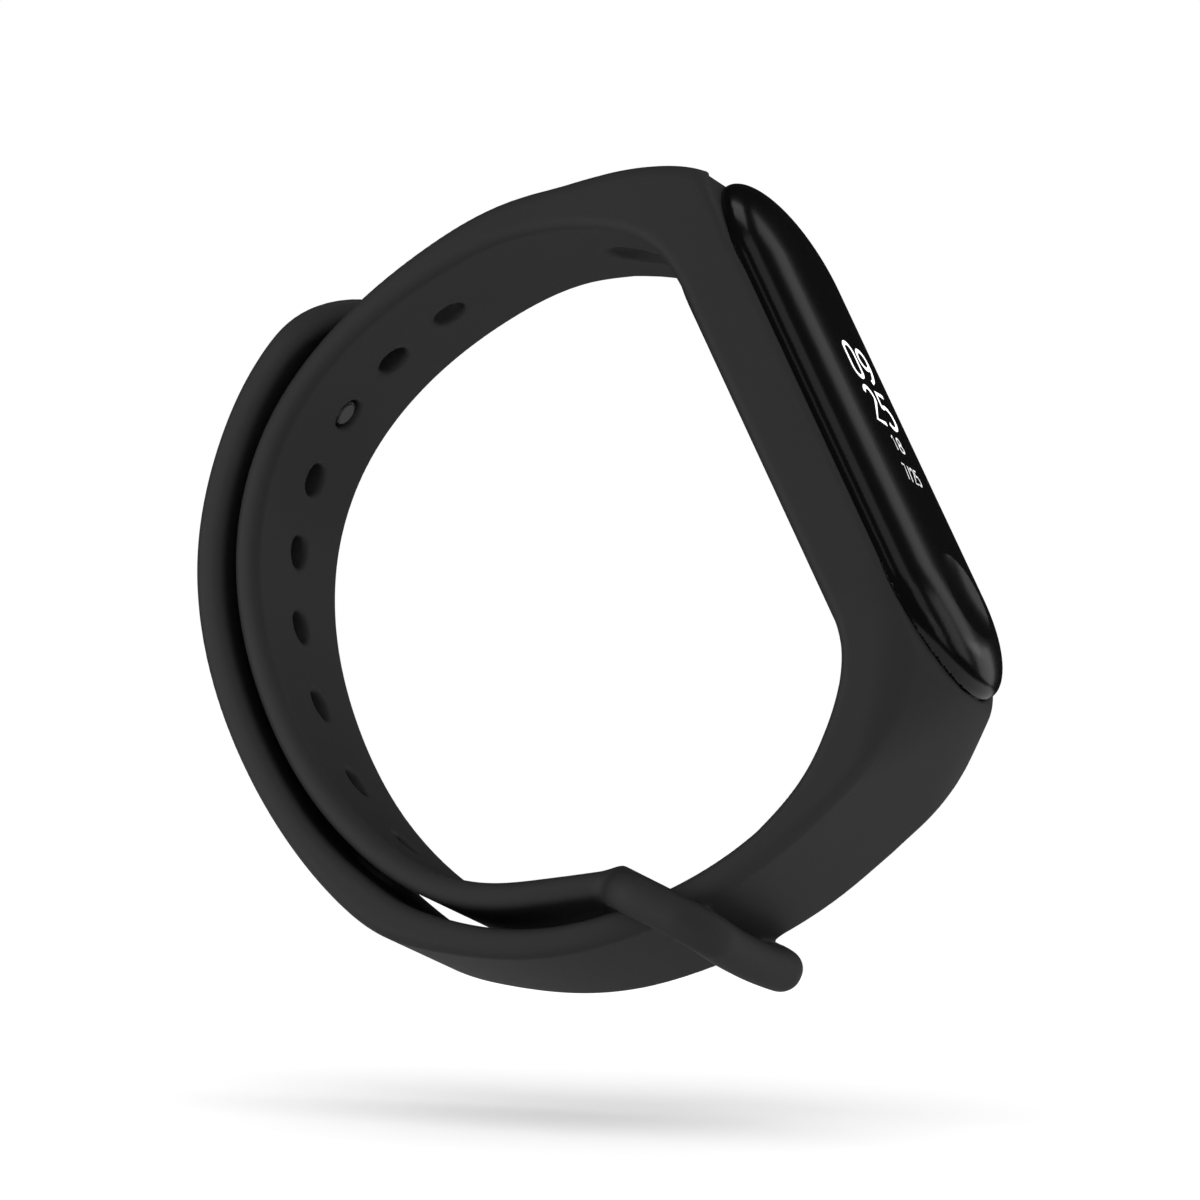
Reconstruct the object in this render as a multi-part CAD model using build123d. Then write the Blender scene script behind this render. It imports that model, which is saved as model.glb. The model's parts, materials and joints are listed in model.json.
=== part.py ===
from build123d import *
import math
import os

# A fitness tracker worn on a wrist: a soft strap closed into a loop, and a sealed capsule
# that presses into the strap's pocket from the front.
# Frame, in millimetres: the origin is the middle of the wrist opening. +Y runs along the
# forearm, +X points to the display side and +Z is up. The band is drawn closed, with its
# stud in the third hole.

# ---------------------------------------------------------------- driving dimensions
CAPSULE_LENGTH = 46.9
CAPSULE_WIDTH = 17.9
CROWN_HEIGHT = 2.9          # top of the lens above the pocket rim
SEAM_HEIGHT = 1.15          # joint between the case and the lens, above the pocket rim
BODY_INSET = 1.5            # the case is narrower than the lens by this inside the pocket
POCKET_DEPTH = 5.2          # pocket rim to the strap's skin side
SENSOR_DEPTH = 6.0          # pocket rim to the sensor face, which presses on the skin
DISPLAY_TILT = 24.6         # degrees between the display's normal and +X
RIM_DISTANCE = 23.65        # origin to the plane of the pocket rim
RIM_SHIFT = 0.3             # capsule middle along the strap, towards the touch key

STRAP_WIDTH = 15.0
STRAP_THICKNESS = 2.1
TOP_SHOULDER = 3.5          # thickness where the hole leg leaves the pocket
BOTTOM_SHOULDER = 2.6       # thickness where the stud leg leaves the pocket
POCKET_WALL = 1.6
RUNNING_GAP = 0.05

HOLE_DIAMETER = 2.55
HOLE_POSITIONS = (13.3, 19.1, 24.6, 30.3, 36.1, 42.1, 48.7, 55.8, 62.5)
STUD_HOLE = 2               # index of the hole that holds the stud
NECK_DIAMETER = 1.9
HEAD_DIAMETER = 2.2
STUD_LENGTH = 5.6           # skin side of the hole leg to the outer side of the stud leg
HEAD_SINK = 0.15            # the stud's head stays this far inside the hole
HEAD_HEIGHT = 0.8
FLANGE_DIAMETER = 4.0
FLANGE_HEIGHT = 0.35
CAP_DIAMETER = 5.2
CAP_HEIGHT = 0.5
FLEX_DISTANCE = 12.2        # stud to the line where the free tail bends
TAIL_START = 0.3            # gap between that line and the free tail, beside the knuckle
TAIL_SWING = 60             # degrees that the free tail folds away from the loop

EYELET_WIDTH = 20.4
EYELET_LENGTH = 10.5
EYELET_THICKNESS = 2.5
EYELET_CORNER = 2.4
EYELET_SLOPE = -27.4        # degrees, the loop dips away from the hole leg
SLOT_WIDTH = 15.8
SLOT_START = 1.9
SLOT_END = 7.7
SLOT_CORNER = 1.0

CASE_WALL = 0.8
FLOOR_HEIGHT = -4.4         # joint between the main case and the back case
RIM_CHAMFER = 0.15
CASE_SEAL_INNER = 6.85
CASE_SEAL_OUTER = 7.2
CASE_SEAL_HEIGHT = 0.25
LENS_SEAL_INNER = 6.9
LENS_SEAL_OUTER = 8.7
LENS_SEAL_HEIGHT = 0.1
LENS_CAVITY = 6.7           # radius of the hollow behind the lens
LENS_UNDERSIDE = 2.0
FLAT_RADIUS = 4.6           # half width of the flat middle of the lens
SENSOR_FLAT = 5.2           # half width of the flat middle of the back case
BACK_INSIDE = -5.2
BOARD_TOP = 0.1
BOARD_THICKNESS = 0.6
MOTOR_X = 14.4
MOTOR_DIAMETER = 7.0
MOTOR_HEIGHT = 2.4
MOTOR_WALL = 0.25
MOTOR_COVER = 0.2
SHAFT_DIAMETER = 0.8
KEY_X = 14.5
KEY_DIAMETER = 8.4
KEY_DEPTH = 0.25
PANEL_X = -3.5
PANEL_LENGTH = 22.0
PANEL_WIDTH = 11.6
PANEL_LOW = 1.0
PANEL_TOP = 1.9
PANEL_END = PANEL_X + PANEL_LENGTH / 2
FRAME_LOW = 0.3
TOUCH_RIBBON_X = 11.0
RIBBON_SLOT = 0.6           # width of the slots that let the ribbons through the carrier
SHIELD_X = -14.5
BATTERY_LENGTH = 16.8
BATTERY_WIDTH = 11.4
BATTERY_HEIGHT = 3.3
BATTERY_TOP = -0.9
WINDOW_DIAMETER = 7.2
WINDOW_TOP = -5.3
SENSOR_LOW = -4.7
SENSOR_TOP = -4.4
CONTACT_X = 17.5
CONTACT_Y = (-2.4, 2.4)
CONTACT_DIAMETER = 1.9
CONTACT_TOP = -4.5

# Skin side of the leg with the holes, from the pocket over the top to the eyelet (X, Z).
hole_leg_points = [
    (0.0, 27.5), (-3.8, 27.35), (-10.7, 25.1), (-17.5, 20.8), (-22.6, 15.0), (-25.2, 8.0),
    (-25.3, 1.0), (-23.4, -6.3), (-20.0, -13.0), (-15.6, -18.2), (-11.2, -21.4),
    (-6.6, -22.9), (-2.0, -23.05), (4.8, -22.8),
]
# Outer side of the leg with the stud, from the pocket through the eyelet to the tip (X, Z).
stud_leg_points = [
    (20.9, -19.9), (17.1, -22.7), (12.2, -25.5), (5.3, -28.1), (0.0, -29.05), (-5.0, -29.0),
    (-10.5, -27.9), (-16.9, -24.8), (-21.9, -19.6), (-27.1, -11.4), (-30.2, -2.5),
    (-30.9, 5.2), (-29.2, 13.6), (-25.9, 20.1), (-22.3, 23.6), (-19.4, 24.9),
]
# The pocket's outline, skin side then front, top shoulder and bottom shoulder (X, Z).
pocket_skin_top = [(0.0, 27.5), (4.2, 26.8), (8.3, 24.7), (11.15, 21.1)]
pocket_skin_bottom = [(22.0, -3.1), (23.3, -7.6), (21.9, -14.0)]
pocket_front_bottom = [(20.9, -19.9), (25.6, -16.2), (29.9, -13.6), (31.3, -11.9)]
pocket_front_top = [(11.9, 30.9), (7.8, 31.8), (3.0, 31.6)]

os.makedirs("parts", exist_ok=True)


# ---------------------------------------------------------------- frames and helpers
tilt = math.radians(DISPLAY_TILT)
out_dir = Vector(math.cos(tilt), 0, math.sin(tilt))       # away from the skin
key_dir = Vector(math.sin(tilt), 0, -math.cos(tilt))      # towards the touch key
rim_centre = out_dir * RIM_DISTANCE + key_dir * RIM_SHIFT
capsule_plane = Plane(origin=rim_centre, x_dir=key_dir, z_dir=out_dir)
side_plane = Plane(origin=(0, 0, 0), x_dir=(1, 0, 0), z_dir=(0, -1, 0))

BODY_LENGTH = CAPSULE_LENGTH - 2 * BODY_INSET
BODY_WIDTH = CAPSULE_WIDTH - 2 * BODY_INSET
BODY_RADIUS = BODY_WIDTH / 2
INNER_RADIUS = BODY_RADIUS - CASE_WALL
STRAIGHT = CAPSULE_LENGTH - CAPSULE_WIDTH                 # straight part of every pill
BOARD_LOW = BOARD_TOP - BOARD_THICKNESS
MOTOR_LOW = BOARD_LOW - MOTOR_HEIGHT
MOTOR_ROOF = BOARD_LOW - MOTOR_WALL
LENS_LOW = SEAM_HEIGHT + LENS_SEAL_HEIGHT


def save(name, *shapes):
    """Write one node's solids to parts/name.step."""
    solids = [solid for shape in shapes for solid in shape.solids()]
    body = solids[0] if len(solids) == 1 else Compound(children=solids)
    export_step(body, f"parts/{name}.step")


def place(shape):
    """Move a shape from the capsule's own frame to the band's frame."""
    return capsule_plane.location * shape


def pill(radius, low, high):
    """A round-ended slab between two heights over the pocket rim."""
    outline = SlotCenterToCenter(STRAIGHT, 2 * radius)
    return Pos(0, 0, low) * extrude(outline, high - low)


def slab(x, y, length, width, low, high):
    """A rectangular slab centred on x, y between two heights."""
    return Pos(x, y, low) * extrude(Rectangle(length, width), high - low)


def disc(x, y, diameter, low, high):
    """A round slab centred on x, y between two heights."""
    return Pos(x, y, low) * extrude(Circle(diameter / 2), high - low)


def pill_turn(section):
    """A pill-shaped body from half its section: x is the radius, y the height."""
    upright = Plane.XZ * section
    half_turn = revolve(upright, Axis.Z, 180)
    key_end = Pos(STRAIGHT / 2, 0, 0) * Rot(0, 0, -90) * half_turn
    far_end = Pos(-STRAIGHT / 2, 0, 0) * Rot(0, 0, 90) * half_turn
    crossing = Plane(origin=(-STRAIGHT / 2, 0, 0), x_dir=(0, 1, 0), z_dir=(1, 0, 0))
    side = extrude(crossing * section, STRAIGHT)
    return key_end + far_end + side + mirror(side, Plane.XZ)


def side_extrude(face, width):
    """Extrude a face drawn in the side view to a width centred on Y = 0."""
    return extrude(side_plane * face, width / 2, both=True)


def as_vectors(points):
    return [Vector(x, z) for x, z in points]


def beside(edge, start, end, reach, count=24):
    """Points beside an edge, at a distance that eases from start to end over its first part."""
    points = []
    for i in range(count + 1):
        u = i / count
        share = min(u / reach, 1.0)
        ease = share * share * (3 - 2 * share)
        tangent = edge.tangent_at(u)
        offset = start + (end - start) * ease
        points.append(edge.position_at(u) + Vector(tangent.Y, -tangent.X) * offset)
    return points


# ---------------------------------------------------------------- strap
hole_edge = Spline(*as_vectors(hole_leg_points))
stud_edge = Spline(*as_vectors(stud_leg_points))
hole_back = beside(hole_edge, TOP_SHOULDER, STRAP_THICKNESS, 0.3)
stud_back = beside(stud_edge, BOTTOM_SHOULDER, STRAP_THICKNESS, 0.15)
eyelet_root = Vector(3.6, -22.85 - STRAP_THICKNESS / 2)
eyelet_angle = math.radians(EYELET_SLOPE)
eyelet_plane = Plane(
    origin=(eyelet_root.X, 0, eyelet_root.Y),
    x_dir=(math.cos(eyelet_angle), 0, math.sin(eyelet_angle)),
    z_dir=(-math.sin(eyelet_angle), 0, math.cos(eyelet_angle)),
)


def hole_frame(distance):
    """Skin side of the hole leg at a distance along it: point, along and outward (X, Z)."""
    u = distance / hole_edge.length
    tangent = hole_edge.tangent_at(u)
    return hole_edge.position_at(u), Vector(tangent.X, tangent.Y), Vector(tangent.Y, -tangent.X)


def hole_plane(distance):
    """Origin on the skin side, x along the leg, z out through its thickness."""
    point, along, outward = hole_frame(distance)
    return Plane(
        origin=(point.X, 0, point.Y),
        x_dir=(along.X, 0, along.Y),
        z_dir=(outward.X, 0, outward.Y),
    )


def leg_region(edge, back_points):
    """Side view of a leg: one side is the given edge, the other lies beside it."""
    back = Spline(*back_points)
    return make_face([edge, Line(edge @ 1, back @ 1), back, Line(back @ 0, edge @ 0)])


stud_point, stud_along, stud_outward = hole_frame(HOLE_POSITIONS[STUD_HOLE])
stud_plane = hole_plane(HOLE_POSITIONS[STUD_HOLE])
flex_middle = stud_point + stud_outward * (STRAP_THICKNESS / 2) + stud_along * FLEX_DISTANCE
flex_angle = math.degrees(math.atan2(-stud_along.Y, -stud_along.X))


def make_pocket():
    """The thick middle of the strap, with a pill-shaped opening for the capsule."""
    skin_top = Spline(*as_vectors(pocket_skin_top))
    skin_bottom = Spline(*as_vectors(pocket_skin_bottom), stud_back[0])
    front_bottom = Spline(*as_vectors(pocket_front_bottom))
    front_top = Spline(*as_vectors(pocket_front_top), hole_back[0])
    outline = [
        skin_top,
        Line(skin_top @ 1, skin_bottom @ 0),
        skin_bottom,
        Line(skin_bottom @ 1, front_bottom @ 0),
        front_bottom,
        Line(front_bottom @ 1, front_top @ 0),
        front_top,
        Line(front_top @ 1, skin_top @ 0),
    ]
    shoulders = side_extrude(make_face(outline), STRAP_WIDTH)
    walls = place(pill(BODY_RADIUS + POCKET_WALL, -POCKET_DEPTH, 0))
    opening = pill(BODY_RADIUS + RUNNING_GAP, -POCKET_DEPTH - 6, 0)
    above_rim = pill(CAPSULE_WIDTH / 2 + 1.0, 0, 6)
    return shoulders + walls - place(opening + above_rim)


def make_hole_leg():
    """The leg with the row of round holes, cut square to the eyelet at its end."""
    leg = side_extrude(leg_region(hole_edge, hole_back), STRAP_WIDTH)
    leg -= eyelet_plane.location * Pos(10, 0, 0) * Box(20, 40, 20)
    drill = disc(0, 0, HOLE_DIAMETER, -2, STRAP_THICKNESS + 2)
    for distance in HOLE_POSITIONS:
        leg -= hole_plane(distance).location * drill
    return leg


def make_eyelet():
    """The rectangular loop at the end of the hole leg, that the other leg passes through."""
    outline = RectangleRounded(EYELET_LENGTH, EYELET_WIDTH, EYELET_CORNER)
    slot_outline = RectangleRounded(SLOT_END - SLOT_START, SLOT_WIDTH, SLOT_CORNER)
    outer = Pos(EYELET_LENGTH / 2, 0) * outline
    slot = Pos((SLOT_START + SLOT_END) / 2, 0) * slot_outline
    loop = extrude(outer - slot, EYELET_THICKNESS / 2, both=True)
    return eyelet_plane.location * loop


def make_stud_leg():
    """Fixed leg and free tail, which meet at a round knuckle on the line where it bends."""
    region = leg_region(stud_edge, stud_back)
    knuckle = Pos(flex_middle.X, flex_middle.Y)
    turned = knuckle * Rot(0, 0, flex_angle)
    beyond = Pos(30, 0) * Rectangle(60, 16)
    fixed = region - turned * beyond + knuckle * Circle(STRAP_THICKNESS / 2)
    relief_rise = 6 / math.tan(math.radians(TAIL_SWING))
    relief = turned * make_face(Polyline((0, 0), (0, 4), (6, 4), (6, relief_rise), close=True))
    socket = knuckle * Circle(STRAP_THICKNESS / 2 + RUNNING_GAP)
    tail = (region & turned * Pos(TAIL_START, 0) * beyond) - socket - relief
    return side_extrude(fixed, STRAP_WIDTH), side_extrude(tail, STRAP_WIDTH)


def make_stud():
    """Snap stud: a head in the hole, a neck, and a flange on the free tail's skin side."""
    head = disc(0, 0, HEAD_DIAMETER, HEAD_SINK, HEAD_SINK + HEAD_HEIGHT)
    head = fillet(head.faces().sort_by(Axis.Z)[0].edges(), 0.35)
    neck = disc(0, 0, NECK_DIAMETER, HEAD_SINK + HEAD_HEIGHT, STUD_LENGTH - CAP_HEIGHT)
    flange_top = STUD_LENGTH - STRAP_THICKNESS
    flange = disc(0, 0, FLANGE_DIAMETER, flange_top - FLANGE_HEIGHT, flange_top)
    return stud_plane.location * (head + neck + flange)


def make_stud_cap():
    """Round cap let into the outer side of the free tail, pressed onto the stud's neck."""
    return stud_plane.location * disc(0, 0, CAP_DIAMETER, STUD_LENGTH - CAP_HEIGHT, STUD_LENGTH)


def stud_hole_tool():
    """What is cut out of the free tail for the stud, its flange and its cap."""
    bore = disc(0, 0, NECK_DIAMETER, STUD_LENGTH - STRAP_THICKNESS - 1, STUD_LENGTH + 2)
    cap_seat = disc(0, 0, CAP_DIAMETER, STUD_LENGTH - CAP_HEIGHT, STUD_LENGTH + 2)
    flange_top = STUD_LENGTH - STRAP_THICKNESS
    flange_seat = disc(0, 0, FLANGE_DIAMETER, flange_top - 1, flange_top)
    return stud_plane.location * (bore + cap_seat + flange_seat)


# ---------------------------------------------------------------- capsule shell
def make_lens():
    """Smoked cover with rounded shoulders and a shallow dish for the touch key."""
    radius = CAPSULE_WIDTH / 2
    side = Line((radius, LENS_LOW), (radius, LENS_LOW + 0.2))
    shoulder = Bezier(
        side @ 1, (radius, 2.45), (7.2, CROWN_HEIGHT), (FLAT_RADIUS, CROWN_HEIGHT)
    )
    rest = Polyline(
        (FLAT_RADIUS, CROWN_HEIGHT), (0, CROWN_HEIGHT), (0, LENS_UNDERSIDE),
        (LENS_CAVITY, LENS_UNDERSIDE), (LENS_CAVITY, LENS_LOW), (radius, LENS_LOW),
    )
    lens = pill_turn(make_face([side, shoulder, rest]))
    dish_radius = (KEY_DIAMETER ** 2 / 4 + KEY_DEPTH ** 2) / (2 * KEY_DEPTH)
    dish = Pos(KEY_X, 0, CROWN_HEIGHT - KEY_DEPTH + dish_radius) * Sphere(dish_radius)
    return lens - dish


def make_main_case():
    """The tub that sits in the pocket, with a rim that rests on the silicone."""
    radius = CAPSULE_WIDTH / 2
    groove_top = FLOOR_HEIGHT + CASE_SEAL_HEIGHT
    section = make_face(Polyline(
        (INNER_RADIUS, FLOOR_HEIGHT), (CASE_SEAL_INNER, FLOOR_HEIGHT),
        (CASE_SEAL_INNER, groove_top), (CASE_SEAL_OUTER, groove_top),
        (CASE_SEAL_OUTER, FLOOR_HEIGHT), (BODY_RADIUS, FLOOR_HEIGHT), (BODY_RADIUS, 0),
        (radius - RIM_CHAMFER, 0), (radius, RIM_CHAMFER), (radius, SEAM_HEIGHT),
        (INNER_RADIUS, SEAM_HEIGHT), close=True,
    ))
    return pill_turn(section)


def make_back_case():
    """Skin-side cover with a raised middle, a window and two charging contacts."""
    swell = Bezier(
        (SENSOR_FLAT, -SENSOR_DEPTH), (6.6, -SENSOR_DEPTH), (BODY_RADIUS, -5.5), (BODY_RADIUS, -4.9)
    )
    rest = Polyline(
        swell @ 1, (BODY_RADIUS, FLOOR_HEIGHT), (6.4, FLOOR_HEIGHT), (6.4, -4.7),
        (SENSOR_FLAT, BACK_INSIDE), (0, BACK_INSIDE), (0, -SENSOR_DEPTH), swell @ 0,
    )
    cover = pill_turn(make_face([swell, rest]))
    cover -= disc(0, 0, WINDOW_DIAMETER, -SENSOR_DEPTH - 1, FLOOR_HEIGHT)
    for y in CONTACT_Y:
        cover -= disc(CONTACT_X, y, CONTACT_DIAMETER, -SENSOR_DEPTH - 1, FLOOR_HEIGHT)
    return cover


def ring_pill(inner, outer, low, high):
    """A pill-shaped ring between two radii and two heights."""
    return pill(outer, low, high) - pill(inner, low - 1, high + 1)


# ---------------------------------------------------------------- capsule contents
def make_inner_frame():
    """Carrier under the display, slotted for the two ribbons."""
    frame = pill(INNER_RADIUS - RUNNING_GAP, FRAME_LOW, PANEL_LOW)
    for x, width in ((PANEL_END + 0.1, 8.0), (TOUCH_RIBBON_X, 4.0)):
        frame -= slab(x, 0, RIBBON_SLOT, width, FRAME_LOW - 1, PANEL_LOW + 1)
    return frame


def make_board_chips():
    """Processor and memory under the shield, motion sensor and charger beside the motor."""
    sizes = [(-16.0, 0, 4.4, 4.4, 0.8), (-12.2, 0, 2.4, 3.4, 0.8), (9.6, 3.0, 1.8, 2.0, 0.6),
             (9.6, -3.0, 1.8, 2.0, 0.6)]
    return [slab(x, y, length, width, BOARD_LOW - high, BOARD_LOW)
            for x, y, length, width, high in sizes]


def make_shield_can():
    """Thin metal lid over the processor and the memory."""
    outer = slab(SHIELD_X, 0, 8.4, 8.0, BOARD_LOW - 1.2, BOARD_LOW)
    return outer - slab(SHIELD_X, 0, 8.0, 7.6, BOARD_LOW - 1.0, BOARD_LOW + 1)


def make_battery_leads():
    """Two bent tabs from the cell's end up to the board."""
    tab_low = BATTERY_TOP - 0.7
    leads = []
    for y in (-3.6, 3.6):
        foot = slab(-BATTERY_LENGTH / 2 - 0.4, y, 0.8, 1.2, tab_low, tab_low + 0.15)
        riser = slab(-BATTERY_LENGTH / 2 - 0.9, y, 0.2, 1.2, tab_low, BOARD_LOW)
        leads.append(foot + riser)
    return leads


def ring(outer_diameter, inner_diameter, low):
    """A round ring under the sensor board, down to a height."""
    bore = disc(0, 0, inner_diameter, low - 1, SENSOR_LOW + 1)
    return disc(0, 0, outer_diameter, low, SENSOR_LOW) - bore


def make_sensor_ribbon():
    """Flat ribbon from the sensor board, under the cell, up to the main board."""
    run_end = BATTERY_LENGTH / 2 + 0.3
    run = slab(-(run_end + 3.0) / 2, 0, run_end - 3.0, 3.0, SENSOR_TOP, SENSOR_TOP + 0.1)
    riser = slab(-run_end - 0.05, 0, 0.1, 3.0, SENSOR_TOP, BOARD_LOW)
    return run + riser


def make_motor_can():
    """Cup of the vibration motor, open towards the skin."""
    cup = disc(MOTOR_X, 0, MOTOR_DIAMETER, MOTOR_LOW + MOTOR_COVER, BOARD_LOW)
    return cup - disc(MOTOR_X, 0, MOTOR_DIAMETER - 2 * MOTOR_WALL, MOTOR_LOW, MOTOR_ROOF)


def make_motor_rotor():
    """Hub on the shaft with a half-round weight, so that it shakes as it spins."""
    middle = (MOTOR_LOW + BOARD_LOW) / 2
    hub = disc(0, 0, 1.9, middle - 0.75, middle + 0.7)
    weight = disc(0, 0, 5.8, middle - 0.6, middle + 0.6) & Pos(5, 0, middle) * Box(10, 10, 3)
    rotor = hub + weight - disc(0, 0, SHAFT_DIAMETER + 2 * RUNNING_GAP, middle - 2, middle + 2)
    return Pos(MOTOR_X, 0, 0) * rotor


save("strap_pocket", make_pocket())
save("hole_leg", make_hole_leg())
save("eyelet_loop", make_eyelet())
fixed_leg, free_tail = make_stud_leg()
save("stud_leg", fixed_leg)
save("stud_leg_tail", free_tail - stud_hole_tool())
save("fastener_stud", make_stud())
save("stud_cap", make_stud_cap())

touch_low = LENS_UNDERSIDE - 0.15
seal_top = FLOOR_HEIGHT + CASE_SEAL_HEIGHT
capsule_parts = {
    "lens_cover": [make_lens()],
    "lens_seal": [ring_pill(LENS_SEAL_INNER, LENS_SEAL_OUTER, SEAM_HEIGHT, LENS_LOW)],
    "main_case": [make_main_case()],
    "case_seal": [ring_pill(CASE_SEAL_INNER, CASE_SEAL_OUTER, FLOOR_HEIGHT, seal_top)],
    "back_case": [make_back_case()],
    "display_bond": [slab(PANEL_X, 0, PANEL_LENGTH, PANEL_WIDTH, PANEL_TOP, LENS_UNDERSIDE)],
    "display_panel": [slab(PANEL_X, 0, PANEL_LENGTH, PANEL_WIDTH, PANEL_LOW, PANEL_TOP)],
    "display_ribbon": [slab(PANEL_END + 0.075, 0, 0.15, 7.0, BOARD_TOP, PANEL_TOP - 0.4)],
    "touch_pad": [disc(KEY_X, 0, KEY_DIAMETER - 0.8, touch_low, LENS_UNDERSIDE)],
    "touch_ribbon": [slab(TOUCH_RIBBON_X, 0, 0.15, 3.0, BOARD_TOP, touch_low)],
    "inner_frame": [make_inner_frame()],
    "main_board": [pill(6.3, BOARD_LOW, BOARD_TOP)],
    "board_chips": make_board_chips(),
    "shield_can": [make_shield_can()],
    "battery_pad": [slab(0, 0, BATTERY_LENGTH - 1, 10.0, BATTERY_TOP, BOARD_LOW)],
    "battery_cell": [
        slab(0, 0, BATTERY_LENGTH, BATTERY_WIDTH, BATTERY_TOP - BATTERY_HEIGHT, BATTERY_TOP)
    ],
    "battery_leads": make_battery_leads(),
    "antenna_strip": [slab(-3.5, 6.525, 19.0, 0.15, -3.6, -2.0)],
    "motor_can": [make_motor_can()],
    "motor_cover": [disc(MOTOR_X, 0, MOTOR_DIAMETER, MOTOR_LOW, MOTOR_LOW + MOTOR_COVER)],
    "motor_shaft": [disc(MOTOR_X, 0, SHAFT_DIAMETER, MOTOR_LOW + MOTOR_COVER, MOTOR_ROOF)],
    "motor_rotor": [make_motor_rotor()],
    "sensor_window": [disc(0, 0, WINDOW_DIAMETER, -SENSOR_DEPTH, WINDOW_TOP)],
    "sensor_gasket": [ring(8.8, 7.3, BACK_INSIDE)],
    "sensor_board": [slab(0, 0, 9.0, 9.0, SENSOR_LOW, SENSOR_TOP)],
    "sensor_leds": [slab(0, y, 1.2, 1.2, -5.25, SENSOR_LOW) for y in (-2.7, 2.7)],
    "photodiode": [slab(0, 0, 2.0, 2.0, -5.25, SENSOR_LOW)],
    "light_barrier": [ring(3.8, 3.2, WINDOW_TOP)],
    "sensor_ribbon": [make_sensor_ribbon()],
    "charging_contacts": [
        disc(CONTACT_X, y, CONTACT_DIAMETER, -SENSOR_DEPTH, CONTACT_TOP) for y in CONTACT_Y
    ],
    "contact_springs": [disc(CONTACT_X, y, 0.8, CONTACT_TOP, BOARD_LOW) for y in CONTACT_Y],
}
for name, shapes in capsule_parts.items():
    save(name, *[place(shape) for shape in shapes])
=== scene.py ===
"""A silicone wrist band with its tracker capsule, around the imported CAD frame.

Lengths in the modelling functions are millimetres in the frame's axes: the origin is the
middle of the wrist opening, +Y runs along the forearm, +X is the display side and +Z is up.
The silicone and the capsule's shell are signed distance functions, negative inside, that are
turned into meshes. Inside them the CAD nodes stay as they are.
"""
import bpy
import json
import math
import numpy as np
from mathutils import Matrix, Vector


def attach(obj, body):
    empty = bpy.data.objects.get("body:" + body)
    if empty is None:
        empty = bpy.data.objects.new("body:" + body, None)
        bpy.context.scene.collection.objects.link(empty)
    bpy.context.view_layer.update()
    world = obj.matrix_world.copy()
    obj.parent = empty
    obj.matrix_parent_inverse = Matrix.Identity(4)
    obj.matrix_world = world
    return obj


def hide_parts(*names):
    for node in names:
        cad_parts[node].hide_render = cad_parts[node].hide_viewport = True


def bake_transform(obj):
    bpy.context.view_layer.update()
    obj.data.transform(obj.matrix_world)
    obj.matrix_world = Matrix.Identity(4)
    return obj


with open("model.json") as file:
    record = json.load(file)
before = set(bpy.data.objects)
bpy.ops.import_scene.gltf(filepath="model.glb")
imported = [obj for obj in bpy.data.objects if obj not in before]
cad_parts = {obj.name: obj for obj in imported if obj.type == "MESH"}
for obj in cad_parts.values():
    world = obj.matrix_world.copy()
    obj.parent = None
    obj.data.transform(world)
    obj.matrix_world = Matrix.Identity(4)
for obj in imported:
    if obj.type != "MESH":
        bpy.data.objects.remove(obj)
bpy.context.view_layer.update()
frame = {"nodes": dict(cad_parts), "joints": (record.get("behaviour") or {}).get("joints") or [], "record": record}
nodes = frame["nodes"]
joints = {joint["name"]: joint for joint in frame["joints"]}

MM = 0.001

# ---------------------------------------------------------------- driving dimensions
CAPSULE_LENGTH = 46.9
CAPSULE_WIDTH = 17.9
DISPLAY_TILT = math.radians(24.6)
RIM_DISTANCE = 23.65        # origin to the plane of the pocket's rim
RIM_SHIFT = 0.3             # and how far its middle lies towards the touch key
RIM_RISE = 0.4              # how much the rim and lens reach further at their other end
RIM_TRIM = 1.3              # how much the rim and lens stop short at the touch key's end

# Heights over the plane of the pocket's rim, and half sections measured from its axis.
CROWN_HEIGHT = 2.75
WALL_HEIGHT = 0.16          # the lens's side is straight up to here
SEAT_HEIGHT = 0.0           # the pocket's front, in which the lens is bedded
SEAM_HEIGHT = -0.25         # top of the case's rim
RIM_FOOT = -0.7
CASE_FLOOR = -4.4
SEAM_GAP = 0.06             # between the case's rim and the lens
LENS_WIDTH = 17.8
LENS_FLAT = 1.5             # half width of the lens's level middle
LENS_HANDLE_HEIGHT = 1.4    # the shoulder's curve leaves the side towards this height
LENS_HANDLE_WIDTH = 6.2     # and meets the level middle from this half width
LENS_UNDERSIDE = 1.6        # roof of the hollow below the lens
LENS_CAVITY = 5.6           # half width of that hollow at its roof
LENS_FOOT = 6.6             # and at the seam
RIM_RADIUS = 8.85
RIM_CHAMFER = 0.2
RIM_INNER = 7.0
BODY_RADIUS = 7.45
BODY_INNER = 6.65
KEY_X = 15.2                # middle of the touch key's dish along the capsule
KEY_DIAMETER = 8.4
KEY_DEPTH = 0.6
KEY_EDGE = 0.03

STRAP_WIDTH = 15.0
STRAP_THICKNESS = 2.1
STRAP_EDGE = 0.9            # rounding of the strap's long edges
STUD_LEG_THICKNESS = 2.35
LEG_SEAM_X = 9.5            # where the stud leg's own piece starts
LEG_SEAM_TOP = -15.0        # the seam plays a part below this height
LEG_SEAM_SIDES = (5.2, 15.0)   # and, for the strap's piece, between these X
LEG_OVERLAP = 1.0           # how far that piece reaches back into the strap's
LEG_SINK = 0.01             # and how far its skin stays below the strap's there
LEG_TIP_CUT = 0.1           # the tip's round is this much short of a half circle
CLOSE_PLACE = 40.5          # where along the stud leg the two legs run closest
CLOSE_LENGTH = 7.0
CLOSE_GAIN = 0.7            # how much the gap between them closes there
TOP_SHOULDER = 3.6          # thickness of the leg with the holes at the pocket
TOP_EASING = 0.3            # share of the leg over which its thickness settles
BOTTOM_SHOULDER = 3.0       # the same two for the leg with the stud
BOTTOM_EASING = 0.15
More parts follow.
